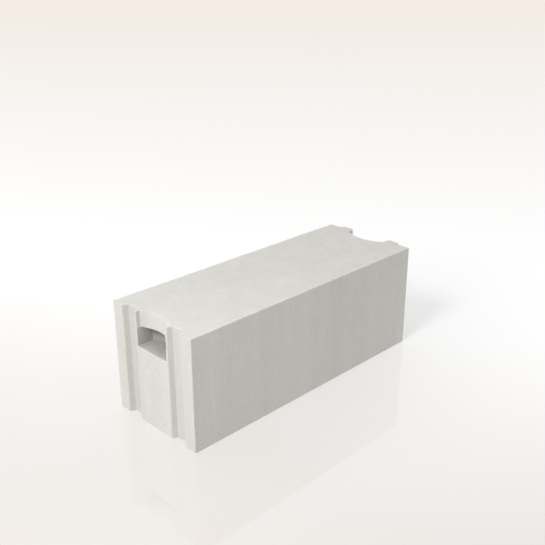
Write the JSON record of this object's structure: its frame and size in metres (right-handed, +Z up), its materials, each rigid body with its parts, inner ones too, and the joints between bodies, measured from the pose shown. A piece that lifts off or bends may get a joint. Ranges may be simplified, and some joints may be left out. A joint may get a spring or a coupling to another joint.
{
  "type": "aerated concrete block",
  "caption": "Long rectangular aerated concrete wall block with upright grooves in one end, tongues on the other end and a hand-hold at the top of each end.",
  "frame": {"origin": "centre of the bottom bed, midway between the two end faces, the tongues not counted", "axes": "+Z up, from the bottom bed to the top bed; +Y along the length, towards the tongued end; X through the wall"},
  "size_m": [0.22, 0.6095, 0.222],
  "materials": {
    "aerated_concrete": "matt sawn aerated concrete, off-white, with fine open pores"
  },
  "bodies": {
    "root": {"aerated_block": "aerated_concrete"}
  },
  "joints": []
}
